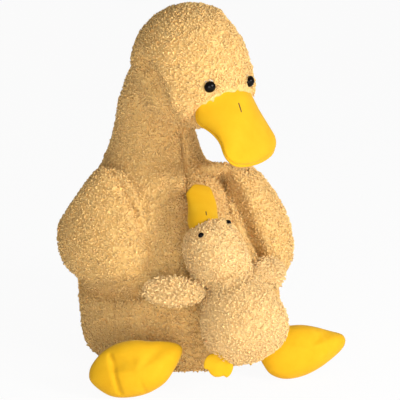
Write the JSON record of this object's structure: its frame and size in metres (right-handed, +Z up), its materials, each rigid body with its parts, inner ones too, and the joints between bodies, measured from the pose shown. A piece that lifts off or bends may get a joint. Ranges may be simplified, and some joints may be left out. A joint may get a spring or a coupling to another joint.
{
  "type": "plush duck",
  "caption": "Seated stuffed duck in curly fleece with a velour bill and webbed feet, its wings round a small stuffed duckling that lies on its belly.",
  "frame": {"origin": "middle of the flat base that the duck sits on", "axes": "+Z up, -Y the way the duck's chest faces, so +X is towards its left side"},
  "size_m": [0.3588, 0.4259, 0.501],
  "materials": {
    "fleece": "curly pile, matt",
    "duckling_fleece": "curly pile, matt",
    "velour": "short smooth pile, soft sheen",
    "filling": "loose wadding",
    "eye": "polished",
    "washer": "moulded",
    "stitch": "thread"
  },
  "bodies": {
    "mother": {"mother_base_panel": "fleece", "mother_body_cover": "fleece", "mother_body_stuffing": "filling", "mother_neck_cover": "fleece", "mother_neck_stuffing": "filling"},
    "mother_head": {"mother_head_cover": "fleece", "mother_head_stuffing": "filling", "mother_bill_upper": "velour", "mother_bill_stuffing": "filling", "mother_bill_lower": "velour", "mother_bill_mark": "stitch", "mother_right_eye": "eye", "mother_right_eye_washer": "washer", "mother_left_eye": "eye", "mother_left_eye_washer": "washer"},
    "mother_right_wing": {"mother_right_wing_cover": "fleece", "mother_right_wing_stuffing": "filling"},
    "mother_left_wing": {"mother_left_wing_cover": "fleece", "mother_left_wing_stuffing": "filling"},
    "mother_right_leg": {"mother_right_leg_cover": "velour", "mother_right_leg_stuffing": "filling"},
    "mother_left_leg": {"mother_left_leg_cover": "velour", "mother_left_leg_stuffing": "filling"},
    "duckling": {"duckling_body_cover": "duckling_fleece", "duckling_body_stuffing": "filling", "duckling_head_cover": "duckling_fleece", "duckling_head_stuffing": "filling", "duckling_bill_upper": "velour", "duckling_bill_lower": "velour", "duckling_bill_mark": "stitch", "duckling_left_eye": "eye", "duckling_left_eye_washer": "washer", "duckling_right_eye": "eye", "duckling_right_eye_washer": "washer"},
    "duckling_left_wing": {"duckling_left_wing": "duckling_fleece"},
    "duckling_right_wing": {"duckling_right_wing": "duckling_fleece"},
    "duckling_left_foot": {"duckling_left_foot": "velour"},
    "duckling_right_foot": {"duckling_right_foot": "velour"}
  },
  "joints": [
    {"name": "mother_head_nod", "type": "hinge", "parent": "mother", "child": "mother_head", "pos_m": [0.00855, -0.02349, 0.415], "axis": [0.9397, 0.342, 0], "range_deg": [-9, 9], "stiffness_Nm_per_rad": 12},
    {"name": "mother_right_wing_lift", "type": "hinge", "parent": "mother", "child": "mother_right_wing", "pos_m": [-0.11126, 0.03238, 0.266], "axis": [-0.1736, 0.9848, 0], "range_deg": [0, 40], "stiffness_Nm_per_rad": 0.4},
    {"name": "mother_left_wing_lift", "type": "hinge", "parent": "mother", "child": "mother_left_wing", "pos_m": [0.07428, -0.02306, 0.266], "axis": [-0.6157, -0.788, 0], "range_deg": [0, 40], "stiffness_Nm_per_rad": 0.4},
    {"name": "mother_right_leg_swing", "type": "hinge", "parent": "mother", "child": "mother_right_leg", "pos_m": [-0.0905, -0.11175, 0.03], "axis": [0, 0, -1], "range_deg": [0, 24], "stiffness_Nm_per_rad": 0.5},
    {"name": "mother_left_leg_swing", "type": "hinge", "parent": "mother", "child": "mother_left_leg", "pos_m": [0.06262, -0.1284, 0.03], "axis": [0, 0, 1], "range_deg": [0, 24], "stiffness_Nm_per_rad": 0.5},
    {"name": "duckling_lift_out", "type": "slide", "parent": "mother", "child": "duckling", "axis": [0, -0.9397, 0.342], "range_m": [0, 0.25]},
    {"name": "duckling_left_wing_lift", "type": "hinge", "parent": "duckling", "child": "duckling_left_wing", "pos_m": [-0.04711, -0.19253, 0.13565], "axis": [0.4445, 0.5695, 0.6914], "range_deg": [0, 45], "stiffness_Nm_per_rad": 0.05},
    {"name": "duckling_right_wing_lift", "type": "hinge", "parent": "duckling", "child": "duckling_right_wing", "pos_m": [0.0261, -0.18968, 0.13517], "axis": [0.5522, -0.5249, -0.6477], "range_deg": [0, 45], "stiffness_Nm_per_rad": 0.05},
    {"name": "duckling_left_foot_swing", "type": "hinge", "parent": "duckling", "child": "duckling_left_foot", "pos_m": [-0.03688, -0.23144, 0.07533], "axis": [-0.8542, 0.3246, 0.4062], "range_deg": [0, 35], "stiffness_Nm_per_rad": 0.02},
    {"name": "duckling_right_foot_swing", "type": "hinge", "parent": "duckling", "child": "duckling_right_foot", "pos_m": [0.01269, -0.20938, 0.06384], "axis": [-0.2753, -0.6101, -0.7429], "range_deg": [0, 12], "stiffness_Nm_per_rad": 0.02}
  ]
}
